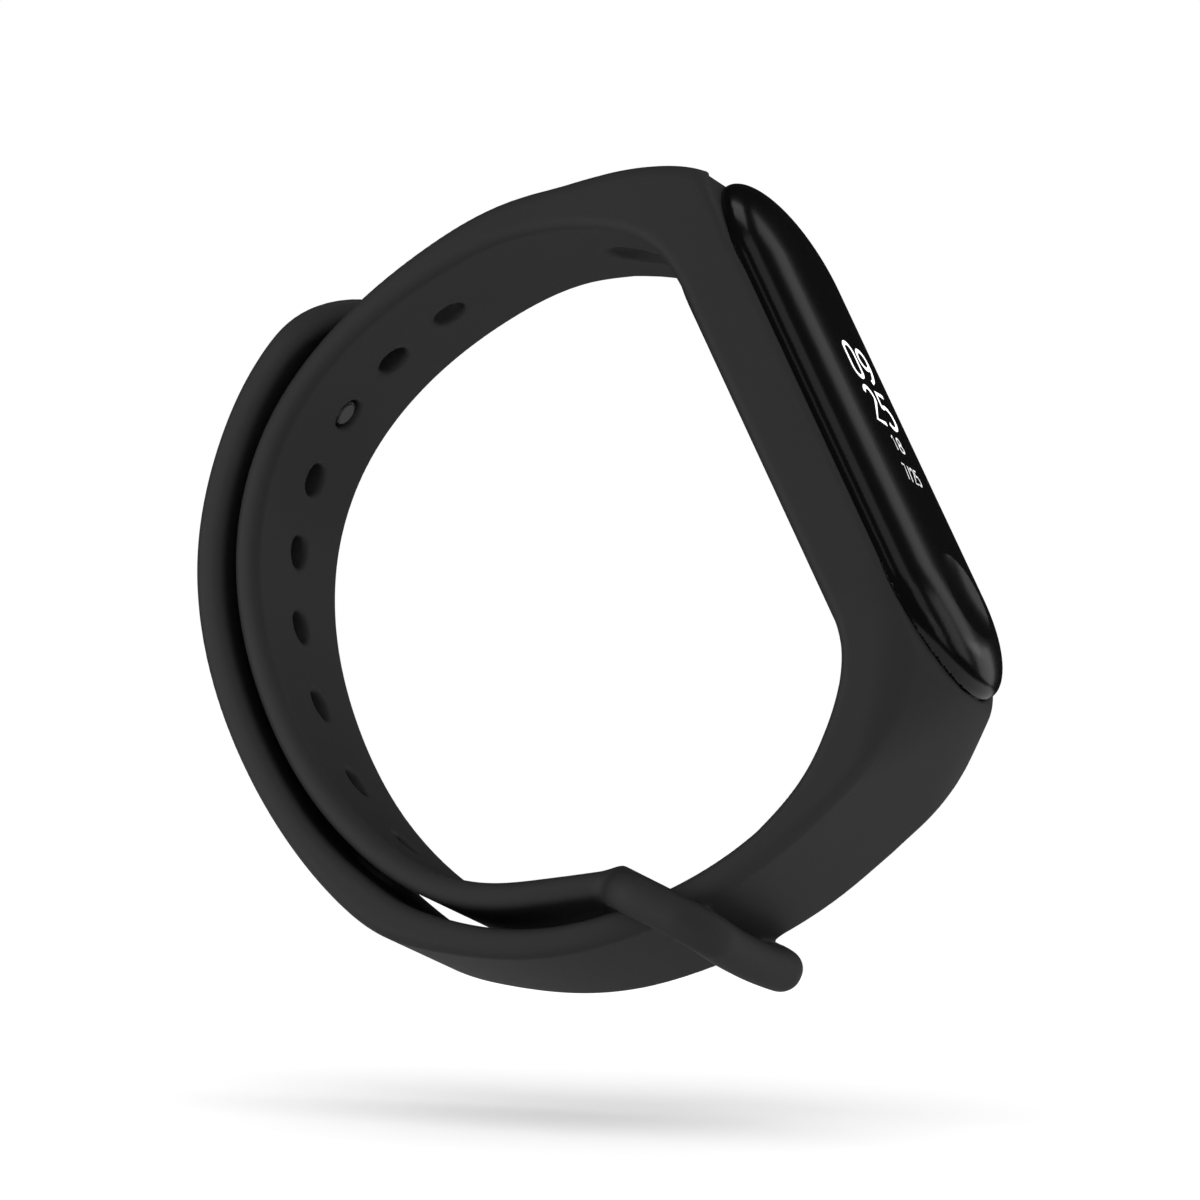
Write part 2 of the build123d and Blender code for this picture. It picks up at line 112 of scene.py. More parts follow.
TAPER_START = 25.0          # degrees from the display's middle where the strap narrows
TAPER_END = 75.0

POCKET_WIDTH = 18.5
POCKET_BORE = 15.0
BORE_DEPTH = 8.0            # from the rim's plane, out through the skin side
BORE_EDGE = 0.25
SEAT_MARGIN = 1.5           # how far past the pocket's sides the seat is cut
SEAT_EDGE = 0.4
LIP_EDGE = 0.3              # rounding of the pocket's front beside the capsule
LIP_DEPTH = 3.0             # the sharper rounding starts this far below the rim's plane
LIP_FADE = 2.0              # and is full this much higher
LIP_REACH = 16.0            # along the capsule it ends this far to each side
LIP_REACH_FADE = 3.0        # and is full this much further in
FLARE_MARGIN = 0.3          # the lower shoulder's cone is this much wider than the pocket
FLARE_FALL = 0.7            # and widens by this much per unit of drop
FLARE_BLEND = 1.5
FLARE_START = 6.0           # along the capsule, where the cone fades in
FLARE_FADE = 8.0            # over this length
FLARE_OFF = 3.0             # how far out the cone is where it plays no part

HOLE_DIAMETER = 2.55
HOLE_POSITIONS = (13.3, 19.1, 24.6, 30.3, 36.1, 42.1, 48.7, 55.8, 62.5)
HOLE_MIDDLE = 1.0           # the drill's middle, into the strap from its skin side
HOLE_REACH = 3.0            # and half the drill's length
HOLE_RIM = 0.35             # softness of the holes' rims

DIMPLE = (3.8, 27.0)        # shallow oval on the skin side of the upper shoulder (X, Z)
DIMPLE_DIR = (0.97, -0.24)
DIMPLE_LENGTH = 6.0
DIMPLE_WIDTH = 4.2
DIMPLE_DEPTH = 0.7
DIMPLE_EDGE = 1.1           # the oval's side falls from here, in shares of its half width
DIMPLE_SIDE = 0.25          # over this share
DIMPLE_BELOW = 4.0          # the skin is sunk from this far below the oval's middle
DIMPLE_ABOVE = 1.5          # to this far above it

EYELET_WIDTH = 20.4
EYELET_LENGTH = 11.3
EYELET_ROUND = 1.55
EYELET_THICKNESS = 3.3
EYELET_SLOPE = math.radians(-27.4)
EYELET_CORNER = 4.0
EYELET_BOW = 0.6            # how far the end bar bends outward under the pull of the leg
EYELET_BLEND = 1.2
EYELET_ROOT = (3.6, -22.85 - STRAP_THICKNESS / 2)   # in the end of the leg with the holes
SLOT_WIDTH = 15.8
SLOT_START = 1.9
SLOT_END = 7.7
SLOT_CORNER = 1.2

MESH_STEP = 0.3             # spacing of the points on the soft pieces
FINE_STEP = 0.2             # and on the capsule
STRAP_BOX = ((-28.5, -10.9, -33.5), (33.5, 10.9, 33.0))
STUD_LEG_BOX = ((-32.0, -8.1, -30.5), (12.5, 8.1, 26.5))
SETTLE_MOVE = 0.2           # the farthest a point moves onto the surface in one round
SETTLE_SLOPE = 0.5          # lower slopes count as this one
SETTLE_EVEN = 0.5           # share of the way to its neighbours' middle that a point moves
PAIRS_AT_ONCE = 4_000_000   # points times edges that are measured together, for memory
SEAM_LAP = 20               # samples that each leg's outline runs past the seam
SHOULDER_END = 25           # sample of the stud leg where the pocket's skin side joins it
NO_CUT = -20.0              # a distance low enough to cut nothing away

NUMERAL_FLATNESS = 0.03     # height of the numerals' strokes over their width
BIG_GLOW = 1.0
SMALL_GLOW = 0.35
BROAD_PATCH = 9.0           # size of the slow colour changes in the materials
ROUGHNESS_SPREAD = 0.08

# The view and the room: distances in metres, the lens in millimetres.
VIEW_AZIMUTH = math.radians(23.5)
VIEW_ELEVATION = math.radians(-14.0)
VIEW_DISTANCE = 0.8
VIEW_LENS = 313.9
ROOM_LIGHT = 0.9            # the room's level to everything but mirrored rays
ROOM_MIRRORED = 0.01        # and to those
FLOOR_TILT = math.radians(18.5)
FLOOR_DEPTH = 0.0408        # below the origin
FLOOR_HALF_WIDTH = 0.12
FLOOR_HALF_DEPTH = 0.1
FLOOR_SEEN = 1.15           # the floor's whiteness to the camera
FLOOR_BOUNCE = 0.45         # and to everything else

# Skin side of the leg with the holes, from the pocket over the top to the eyelet (X, Z).
hole_leg_points = [
    (0.0, 27.5), (-3.8, 27.35), (-10.7, 25.1), (-17.5, 20.8), (-22.6, 15.0), (-25.2, 8.0),
    (-25.3, 1.0), (-23.4, -6.3), (-20.0, -13.0), (-15.6, -18.2), (-11.2, -21.4),
    (-6.6, -22.9), (-2.0, -23.05), (4.8, -22.8),
]
# Outer side of the leg with the stud, from the pocket through the eyelet to the tip (X, Z).
stud_leg_points = [
    (21.3, -20.2), (17.3, -23.1), (12.3, -25.8), (5.3, -28.2), (0.0, -29.1), (-5.0, -29.0),
    (-10.5, -27.95), (-15.3, -26.2), (-18.7, -23.5), (-22.0, -19.75), (-27.1, -11.4), (-30.2, -2.5),
    (-30.9, 5.2), (-29.2, 13.6), (-25.9, 20.1), (-22.3, 23.7), (-17.9, 25.7),
]
# The pocket's outline in the side view (X, Z).
pocket_skin_top = [(0.0, 27.5), (4.2, 26.8), (8.15, 24.6), (10.66, 20.87)]
pocket_skin_bottom = [(21.7, -3.25), (23.1, -7.5), (21.6, -13.7), (19.3, -17.45)]
pocket_front_top = [(12.3, 30.57), (11.6, 30.85), (8.3, 31.55), (4.9, 31.65)]
pocket_front_bottom = [(21.3, -20.2), (25.0, -17.1), (28.6, -13.9), (30.8, -11.35), (31.05, -10.9)]

out_dir = np.array([math.cos(DISPLAY_TILT), 0.0, math.sin(DISPLAY_TILT)])
key_dir = np.array([math.sin(DISPLAY_TILT), 0.0, -math.cos(DISPLAY_TILT)])
rim_centre = out_dir * RIM_DISTANCE + key_dir * RIM_SHIFT
half_straight = (CAPSULE_LENGTH - CAPSULE_WIDTH) / 2


# ---------------------------------------------------------------- camera
def make_camera():
    data = bpy.data.cameras.new("view")
    data.lens = VIEW_LENS
    data.sensor_width = 36.0
    data.clip_start = 0.01
    camera = bpy.data.objects.new("view", data)
    bpy.context.scene.collection.objects.link(camera)
    level = math.cos(VIEW_ELEVATION)
    away = Vector((
        math.sin(VIEW_AZIMUTH) * level, -math.cos(VIEW_AZIMUTH) * level, math.sin(VIEW_ELEVATION)))
    camera.location = away * VIEW_DISTANCE
    camera.rotation_euler = away.to_track_quat("Z", "Y").to_euler()
    bpy.context.scene.camera = camera


make_camera()


# ---------------------------------------------------------------- curves and outlines
def smooth_curve(points, spacing=0.2):
    """A cubic curve through the points, sampled about evenly along its length."""
    p = np.array(points, float)
    t = np.concatenate([[0.0], np.cumsum(np.linalg.norm(np.diff(p, axis=0), axis=1))])
    h = np.diff(t)
    count = len(p)
    matrix = np.eye(count)
    right = np.zeros((count, 2))
    for i in range(1, count - 1):
        matrix[i, i - 1:i + 2] = h[i - 1], 2 * (h[i - 1] + h[i]), h[i]
        right[i] = 6 * ((p[i + 1] - p[i]) / h[i] - (p[i] - p[i - 1]) / h[i - 1])
    bend = np.linalg.solve(matrix, right)
    s = np.linspace(0, t[-1], max(2, int(t[-1] / spacing)) + 1)
    i = np.clip(np.searchsorted(t, s, side="right") - 1, 0, count - 2)
    a = ((t[i + 1] - s) / h[i])[:, None]
    b = ((s - t[i]) / h[i])[:, None]
    step = (h[i] ** 2 / 6)[:, None]
    return a * p[i] + b * p[i + 1] + ((a**3 - a) * bend[i] + (b**3 - b) * bend[i + 1]) * step


def arc_lengths(curve):
    return np.concatenate([[0.0], np.cumsum(np.linalg.norm(np.diff(curve, axis=0), axis=1))])


def side_normals(curve):
    """Unit normals on the right of a curve's direction."""
    tangent = np.gradient(curve, axis=0)
    tangent /= np.linalg.norm(tangent, axis=1)[:, None]
    return np.stack([tangent[:, 1], -tangent[:, 0]], axis=1)


def beside(curve, start, end, reach):
    """The curve moved sideways, by start easing to end over its first part."""
    share = np.clip(arc_lengths(curve) / arc_lengths(curve)[-1] / reach, 0, 1)
    offset = start + (end - start) * share * (2 - share)
    return curve + side_normals(curve) * offset[:, None]


def smooth_step(share):
    share = np.clip(share, 0.0, 1.0)
    return share * share * (3 - 2 * share)


def polygon_distance(polygon, a, b):
    """Signed distance in a plane to a closed outline, negative inside."""
    shape = np.shape(a)
    points = np.stack([np.ravel(a), np.ravel(b)], axis=1)
    start = np.asarray(polygon, float)
    edge = np.roll(start, -1, axis=0) - start
    length = np.maximum((edge**2).sum(1), 1e-12)
    result = np.empty(len(points))
    chunk = max(1, PAIRS_AT_ONCE // len(start))
    for first in range(0, len(points), chunk):
        p = points[first:first + chunk]
        dx = p[:, :1] - start[:, 0]
        dy = p[:, 1:] - start[:, 1]
        t = np.clip((dx * edge[:, 0] + dy * edge[:, 1]) / length, 0, 1)
        gap = (dx - t * edge[:, 0]) ** 2 + (dy - t * edge[:, 1]) ** 2
        above = start[:, 1] > p[:, 1:]
        above_next = np.roll(start[:, 1], -1) > p[:, 1:]
        crossing = dx * edge[:, 1] < dy * edge[:, 0]
        crossed = (above != above_next) & (crossing == (edge[:, 1] > 0))
        inside = crossed.sum(1) % 2 == 1
        distance = np.sqrt(gap.min(1))
        result[first:first + chunk] = np.where(inside, -distance, distance)
    return result.reshape(shape)


class Outline:
    def __init__(self, polygon, step=0.15, margin=3.0):
        polygon = np.asarray(polygon)
        self.low = polygon.min(0) - margin
        self.step = step
        size = np.ceil((polygon.max(0) + margin - self.low) / step).astype(int) + 1
        a = self.low[0] + np.arange(size[0]) * step
        b = self.low[1] + np.arange(size[1]) * step
        self.values = polygon_distance(polygon, *np.meshgrid(a, b, indexing="ij"))

    def __call__(self, a, b):
        top = np.array(self.values.shape) - 2
        u = np.clip((a - self.low[0]) / self.step, 0, top[0] + 0.999)
        v = np.clip((b - self.low[1]) / self.step, 0, top[1] + 0.999)
        i = u.astype(int)
        j = v.astype(int)
        u = u - i
        v = v - j
        near = self.values[i, j] * (1 - v) + self.values[i, j + 1] * v
        far = self.values[i + 1, j] * (1 - v) + self.values[i + 1, j + 1] * v
        return near * (1 - u) + far * u


# ---------------------------------------------------------------- distance functions
def smooth_max(a, b, blend):
    """Intersection with a fillet."""
    h = np.maximum(blend - np.abs(a - b), 0.0)
    return np.maximum(a, b) + h * h / (4 * blend)


def smooth_min(a, b, blend):
    """Union with a fillet."""
    return -smooth_max(-a, -b, blend)


def rounded(a, b, radius):
    """Intersection of two half spaces whose shared edge has a round of that radius."""
    u = a + radius
    v = b + radius
    outside = np.hypot(np.maximum(u, 0), np.maximum(v, 0))
    return outside + np.minimum(np.maximum(u, v), 0) - radius


def pill_distance(a, y, radius):
    """Plan distance to a round-ended slab around the capsule's long axis."""
    return np.hypot(np.maximum(np.abs(a) - half_straight, 0), y) - radius


def rim_pill(a, y, radius):
    """The same for the rim and the lens, which stop short at the touch key's end."""
    half = half_straight + (RIM_RISE - RIM_TRIM) / 2
    return np.hypot(np.maximum(np.abs(a + (RIM_RISE + RIM_TRIM) / 2) - half, 0), y) - radius


def rectangle_distance(a, b, half_a, half_b, corner):
    return rounded(np.abs(a) - half_a, np.abs(b) - half_b, corner)


def capsule_axes(x, y, z):
    """Position in the capsule's own frame: along towards the touch key, across, height."""
    dx = x - rim_centre[0]
    dz = z - rim_centre[2]
    return dx * key_dir[0] + dz * key_dir[2], y, dx * out_dir[0] + dz * out_dir[2]


# ---------------------------------------------------------------- meshes from distances
def net_mesh(distance, low, high, step):
    """Quads on the surface where the distance is zero, one point in each cell it crosses."""
    axes = [np.arange(a, b + step, step) for a, b in zip(low, high)]
    values = np.empty([len(axis) for axis in axes])
    y_grid, z_grid = np.meshgrid(axes[1], axes[2], indexing="ij")
    for i, x in enumerate(axes[0]):
        values[i] = distance(np.full_like(y_grid, x), y_grid, z_grid)
    inside = values < 0
    cells = tuple(n - 1 for n in values.shape)
    total = np.zeros(cells)
    weight = np.zeros(cells)
    place = np.zeros(cells + (3,))
    corners = [np.array(c) for c in np.ndindex(2, 2, 2)]

    def corner(array, c):
        return array[c[0]:c[0] + cells[0], c[1]:c[1] + cells[1], c[2]:c[2] + cells[2]]

    for c in corners:
        total += corner(inside, c)
        for axis in range(3):
            if c[axis]:
                continue
            d = c.copy()
            d[axis] = 1
            a, b = corner(values, c), corner(values, d)
            cross = (a < 0) != (b < 0)
            t = np.where(cross, a / np.where(cross, a - b, 1.0), 0.0)
            weight += cross
            for k in range(3):
                place[..., k] += cross * (c[k] + (t if k == axis else 0.0))
    mixed = (total > 0) & (total < 8)
    index = np.full(cells, -1)
    index[mixed] = np.arange(mixed.sum())
    at = np.argwhere(mixed)
    points = np.array(low) + (at + place[mixed] / weight[mixed][:, None]) * step
    quads = []
    for axis in range(3):
        one, two = [k for k in range(3) if k != axis]
        shift = [0, 0, 0]
        shift[axis] = 1
        first = inside[:-1, :-1, :-1]
        second = inside[shift[0]:, shift[1]:, shift[2]:]
        second = second[tuple(slice(0, n) for n in cells)]
        edge = np.argwhere(first != second)
        edge = edge[(edge[:, one] > 0) & (edge[:, two] > 0)]
        ring = []
        for a, b in ((0, 0), (1, 0), (1, 1), (0, 1)):
            cell = edge.copy()
            cell[:, one] -= a
            cell[:, two] -= b
            ring.append(index[tuple(cell.T)])
        ring = np.stack(ring, axis=1)
        facing_in = inside[tuple(edge.T)] == (axis == 1)
        ring[facing_in] = ring[facing_in][:, ::-1]
        quads.append(ring)
    return points, np.concatenate(quads)


def slopes(distance, points, reach=0.03):
    """Gradient of a distance function at points."""
    result = np.empty_like(points)
    for k in range(3):
        offset = np.zeros(3)
        offset[k] = reach
        ahead = distance(*(points + offset).T)
        result[:, k] = (ahead - distance(*(points - offset).T)) / (2 * reach)
    return result


def settle(distance, points, quads, rounds):
    """Moves the points onto the surface and evens out their spacing along it."""
    pairs = np.concatenate([quads[:, [0, 1]], quads[:, [1, 2]], quads[:, [2, 3]], quads[:, [3, 0]]])
    count = np.bincount(pairs[:, 0], minlength=len(points))
    count = np.maximum(count + np.bincount(pairs[:, 1], minlength=len(points)), 1)
    for i in range(rounds + 1):
        slope = slopes(distance, points)
        size = np.maximum((slope**2).sum(1), SETTLE_SLOPE**2)
        off = np.clip(distance(*points.T), -SETTLE_MOVE, SETTLE_MOVE)
        points = points - slope * (off / size)[:, None]
        if i == rounds:
            return points
        middle = np.stack([
            np.bincount(pairs[:, 0], points[pairs[:, 1], k], len(points))
            + np.bincount(pairs[:, 1], points[pairs[:, 0], k], len(points))
            for k in range(3)
        ], axis=1) / count[:, None]
        pull = middle - points
        normal = slope / np.sqrt(size)[:, None]
        pull -= normal * (pull * normal).sum(1)[:, None]
        points = points + SETTLE_EVEN * pull


def make_solid(name, distance, low, high, step, rounds=3, exact_normals=False):
    """A mesh object of a distance function, within a box in millimetres."""
    points, quads = net_mesh(distance, low, high, step)
    points = settle(distance, points, quads, rounds)
    mesh = bpy.data.meshes.new(name)
    mesh.from_pydata((points * MM).tolist(), [], quads.tolist())
    mesh.validate()
    mesh.shade_smooth()
    if exact_normals:
        normals = slopes(distance, points)
        normals /= np.linalg.norm(normals, axis=1)[:, None]
        mesh.normals_split_custom_set_from_vertices(normals.tolist())
    piece = bpy.data.objects.new(name, mesh)
    bpy.context.scene.collection.objects.link(piece)
    return piece


# ---------------------------------------------------------------- strap
hole_edge = smooth_curve(hole_leg_points)
stud_edge = smooth_curve(stud_leg_points)
hole_back = beside(hole_edge, TOP_SHOULDER, STRAP_THICKNESS, TOP_EASING)
stud_back = beside(stud_edge, BOTTOM_SHOULDER, STUD_LEG_THICKNESS, BOTTOM_EASING)
# The stud leg swells a little inward where the two legs run closest.
closeness = np.exp(-((arc_lengths(stud_edge) - CLOSE_PLACE) / CLOSE_LENGTH) ** 2)
stud_back += side_normals(stud_edge) * (CLOSE_GAIN * closeness)[:, None]
seam_index = int(np.argmax(stud_edge[:, 0] < LEG_SEAM_X))
band_outline = Outline(np.concatenate([
    hole_edge[::-1],
    smooth_curve(pocket_skin_top)[1:],
    smooth_curve(pocket_skin_bottom + [tuple(stud_back[SHOULDER_END])])[:-1],
    stud_back[SHOULDER_END:seam_index + SEAM_LAP],
    stud_edge[:seam_index + SEAM_LAP][::-1],
    smooth_curve(pocket_front_bottom)[1:],
    smooth_curve(pocket_front_top + [tuple(hole_back[0])])[:-1],
    hole_back,
]))
stud_outline = Outline(np.concatenate([
    stud_edge[seam_index - SEAM_LAP:],
    stud_back[seam_index - SEAM_LAP:][::-1],
]))

seam_point = stud_edge[seam_index]
seam_along = stud_edge[seam_index + 1] - stud_edge[seam_index]
seam_along /= np.linalg.norm(seam_along)
tip_point = (stud_edge[-1] + stud_back[-1]) / 2
tip_along = stud_edge[-1] - stud_edge[-2]
tip_along /= np.linalg.norm(tip_along)


def find_holes():
    """Point on the skin side and outward direction of each hole (X, Z)."""
    lengths = arc_lengths(hole_edge)
    normals = side_normals(hole_edge)
    for distance in HOLE_POSITIONS:
        point = [np.interp(distance, lengths, hole_edge[:, k]) for k in range(2)]
        normal = [np.interp(distance, lengths, normals[:, k]) for k in range(2)]
        yield point, normal


hole_places = list(find_holes())


def half_width(x, z):
    """Half the strap's width: wide around the pocket, narrowing over the shoulders."""
    angle = np.abs(np.degrees(np.arctan2(z, x)) - math.degrees(DISPLAY_TILT))
    wide = smooth_step((TAPER_END - angle) / (TAPER_END - TAPER_START))
    return STRAP_WIDTH / 2 + (POCKET_WIDTH - STRAP_WIDTH) / 2 * wide


def past_seam(x, z):
    """Distance along the stud leg past the seam between its two pieces."""
    return (x - seam_point[0]) * seam_along[0] + (z - seam_point[1]) * seam_along[1]


def eyelet_distance(x, y, z):
    """The loop that the stud leg passes through: a bowed plate with a slot."""
    dx = x - EYELET_ROOT[0]
    dz = z - EYELET_ROOT[1]
    along = dx * math.cos(EYELET_SLOPE) + dz * math.sin(EYELET_SLOPE)
    height = -dx * math.sin(EYELET_SLOPE) + dz * math.cos(EYELET_SLOPE)
    bow = EYELET_BOW * (1 - (y / (EYELET_WIDTH / 2)) ** 2) * smooth_step(along / EYELET_LENGTH)
    height = height + bow
    outer = rectangle_distance(
        along - EYELET_LENGTH / 2, y, EYELET_LENGTH / 2, EYELET_WIDTH / 2, EYELET_CORNER)
    slot = rectangle_distance(
        along - (SLOT_START + SLOT_END) / 2, y, (SLOT_END - SLOT_START) / 2, SLOT_WIDTH / 2,
        SLOT_CORNER)
    plan = np.maximum(outer, -slot)
    return rounded(plan, np.abs(height) - EYELET_THICKNESS / 2, EYELET_ROUND)


def flare_distance(along, across, height):
    """A cone around the lower shoulder, which narrows it towards the pocket's rim."""
    cone = rim_pill(along, across, POCKET_WIDTH / 2 + FLARE_MARGIN)
    cone = (cone + FLARE_FALL * (height - SEAT_HEIGHT)) / math.hypot(1, FLARE_FALL)
    return cone - FLARE_OFF * (1 - smooth_step((along - FLARE_START) / FLARE_FADE))


def dimple_sink(x, y, z):
    """How deep the oval on the upper shoulder is at a place."""
    along = (x - DIMPLE[0]) * DIMPLE_DIR[0] + (z - DIMPLE[1]) * DIMPLE_DIR[1]
    reach = np.hypot(along / DIMPLE_LENGTH, y / DIMPLE_WIDTH) * 2
    deep = DIMPLE_DEPTH * smooth_step((DIMPLE_EDGE - reach) / DIMPLE_SIDE)
    near = (z > DIMPLE[1] - DIMPLE_BELOW) & (z < DIMPLE[1] + DIMPLE_ABOVE)
    return np.where(near, deep, 0.0)


def strap_distance(x, y, z):
    """The piece with the pocket, the leg with the holes and the eyelet."""
    along, across, height = capsule_axes(x, y, z)
    at_lip = smooth_step((height + LIP_DEPTH) / LIP_FADE)
    at_lip = at_lip * smooth_step((LIP_REACH - np.abs(along)) / LIP_REACH_FADE)
    edge = STRAP_EDGE + (LIP_EDGE - STRAP_EDGE) * at_lip
    body = rounded(band_outline(x, z), np.abs(y) - half_width(x, z), edge)
    body = smooth_max(body, flare_distance(along, across, height), FLARE_BLEND)
    beside_seam = (z < LEG_SEAM_TOP) & (x > LEG_SEAM_SIDES[0]) & (x < LEG_SEAM_SIDES[1])
    body = np.maximum(body, np.where(beside_seam, past_seam(x, z), NO_CUT))
    body = smooth_min(body, eyelet_distance(x, y, z), EYELET_BLEND)
    bore = np.maximum(pill_distance(along, across, POCKET_BORE / 2), -BORE_DEPTH - height)
    body = smooth_max(body, -bore, BORE_EDGE)
    seat = rim_pill(along, across, POCKET_WIDTH / 2 + SEAT_MARGIN)
    body = smooth_max(body, -np.maximum(seat, SEAT_HEIGHT - height), SEAT_EDGE)
    body = body + dimple_sink(x, y, z)
    for (px, pz), (nx, nz) in hole_places:
        depth = (x - px) * nx + (z - pz) * nz
        beside_axis = np.hypot((x - px) * nz - (z - pz) * nx, y)
        drill = np.abs(depth - HOLE_MIDDLE) - HOLE_REACH
        drill = np.maximum(beside_axis - HOLE_DIAMETER / 2, drill)
        body = smooth_max(body, -drill, HOLE_RIM)
    return body


def stud_leg_distance(x, y, z):
    """The leg with the stud, round at its tip."""
    along = (x - tip_point[0]) * tip_along[0] + (z - tip_point[1]) * tip_along[1]
    along = np.where(z > 0, along, NO_CUT)
    plan = rounded(along, np.abs(y) - STRAP_WIDTH / 2, STRAP_WIDTH / 2 - LEG_TIP_CUT)
    body = rounded(stud_outline(x, z), plan, STRAP_EDGE)
    beside_seam = (z < LEG_SEAM_TOP) & (x > 0)
    behind_seam = np.where(beside_seam, -past_seam(x, z) - LEG_OVERLAP, NO_CUT)
    return np.maximum(body, behind_seam) + LEG_SINK


silicone_strap = make_solid("silicone_strap", strap_distance, *STRAP_BOX, MESH_STEP)
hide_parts("strap_pocket", "hole_leg", "eyelet_loop")
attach(silicone_strap, "band")

stud_leg_skin = make_solid("stud_leg_skin", stud_leg_distance, *STUD_LEG_BOX, MESH_STEP)
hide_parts("stud_leg", "stud_leg_tail")
fold = Vector(joints["tail_unbutton"]["pos_m"])
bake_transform(stud_leg_skin)


# ---------------------------------------------------------------- capsule
def lens_profile():
    """Half section of the lens: radius from the pill's axis, height over the rim."""
    foot = SEAM_HEIGHT + SEAM_GAP
    radius = LENS_WIDTH / 2
    t = np.linspace(0, 1, 40)[:, None]
    a, b, c, d = [np.array(point) for point in (
        (radius, WALL_HEIGHT), (radius, LENS_HANDLE_HEIGHT), (LENS_HANDLE_WIDTH, CROWN_HEIGHT),
        (LENS_FLAT, CROWN_HEIGHT))]
    shoulder = (1 - t) ** 3 * a + 3 * t * (1 - t) ** 2 * b + 3 * t**2 * (1 - t) * c + t**3 * d
    inside = [
        (0, CROWN_HEIGHT), (0, LENS_UNDERSIDE), (LENS_CAVITY, LENS_UNDERSIDE), (LENS_FOOT, foot),
    ]
    return np.concatenate([[(radius, foot)], shoulder, inside])


def lathe(profile, pill):
    """Distance function of a half section turned around one of the capsule's pills."""
    mirrored = profile * np.array([-1.0, 1.0])
    whole = np.concatenate([profile, mirrored[::-1]])

    def distance(x, y, z):
        along, across, height = capsule_axes(x, y, z)
        return polygon_distance(whole, pill(along, across, 0.0), height)

    return distance


lens_body = lathe(lens_profile(), rim_pill)
case_walls = lathe(np.array([
    (BODY_INNER, CASE_FLOOR), (BODY_RADIUS, CASE_FLOOR), (BODY_RADIUS, SEAM_HEIGHT),
    (BODY_INNER, SEAM_HEIGHT),
]), pill_distance)
case_rim = lathe(np.array([
    (RIM_INNER, RIM_FOOT), (RIM_RADIUS - RIM_CHAMFER, RIM_FOOT),
    (RIM_RADIUS, RIM_FOOT + RIM_CHAMFER), (RIM_RADIUS, SEAM_HEIGHT), (RIM_INNER, SEAM_HEIGHT),
]), rim_pill)


def case_distance(x, y, z):
    """The case's walls with the wider rim that the lens stands on."""
    return np.minimum(case_walls(x, y, z), case_rim(x, y, z))


def lens_distance(x, y, z):
    """The lens with the touch key's shallow round dish."""
    along, across, height = capsule_axes(x, y, z)
    radius = (KEY_DIAMETER**2 / 4 + KEY_DEPTH**2) / (2 * KEY_DEPTH)
    lift = height - (CROWN_HEIGHT - KEY_DEPTH + radius)
    dish = np.sqrt((along - KEY_X) ** 2 + across**2 + lift**2) - radius
    return smooth_max(lens_body(x, y, z), -dish, KEY_EDGE)


def capsule_box(low_height, high_height, margin=0.5):
    """A box around part of the capsule, in the frame's axes."""
    corners = [
        rim_centre + key_dir * along + out_dir * height
        for along in (-CAPSULE_LENGTH / 2 - margin, CAPSULE_LENGTH / 2 + margin)
        for height in (low_height - margin, high_height + margin)
    ]
    low = np.min(corners, axis=0)
    high = np.max(corners, axis=0)
    low[1] = -CAPSULE_WIDTH / 2 - margin
    high[1] = CAPSULE_WIDTH / 2 + margin
    return low, high


capsule_lens = make_solid(
    "capsule_lens", lens_distance, *capsule_box(SEAM_HEIGHT, CROWN_HEIGHT), FINE_STEP,
    exact_normals=True,
)
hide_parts("lens_cover", "lens_seal")
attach(capsule_lens, "tracker")

capsule_case = make_solid(
    "capsule_case", case_distance, *capsule_box(CASE_FLOOR, SEAM_HEIGHT), FINE_STEP,
    exact_normals=True,
)
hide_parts("main_case")
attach(capsule_case, "tracker")


# ---------------------------------------------------------------- lit numerals
def arc(cx, cy, rx, ry, start, end, count=14):
    """Points of an ellipse's arc, angles in degrees, y downward."""
    angles = np.radians(np.linspace(start, end, count))
    return [(cx + rx * math.cos(a), cy + ry * math.sin(a)) for a in angles]


# Strokes of each numeral in a box one wide and two high, x to the right and y down.
glyphs = {
    "0": [arc(0.5, 0.5, 0.5, 0.5, 180, 360) + arc(0.5, 1.5, 0.5, 0.5, 0, 180) + [(0.0, 0.5)]],
    "1": [[(0.15, 0.4), (0.55, 0.0), (0.55, 2.0)]],
    "2": [arc(0.5, 0.5, 0.5, 0.5, 190, 380) + [(0.0, 2.0), (1.0, 2.0)]],
    "5": [[(0.95, 0.0), (0.12, 0.0), (0.05, 0.85)] + arc(0.48, 1.38, 0.52, 0.62, 235, 500)],
    "7": [[(0.0, 0.0), (1.0, 0.0), (0.4, 2.0)]],
    "8": [arc(0.5, 0.48, 0.42, 0.48, 0, 360, 24), arc(0.5, 1.48, 0.5, 0.52, 0, 360, 24)],
    "9": [arc(0.5, 0.55, 0.5, 0.55, 0, 360, 24), [(1.0, 0.55)] + arc(0.1, 0.75, 0.9, 1.25, 0, 75)],
    "/": [[(0.85, -0.1), (0.15, 2.1)]],
}


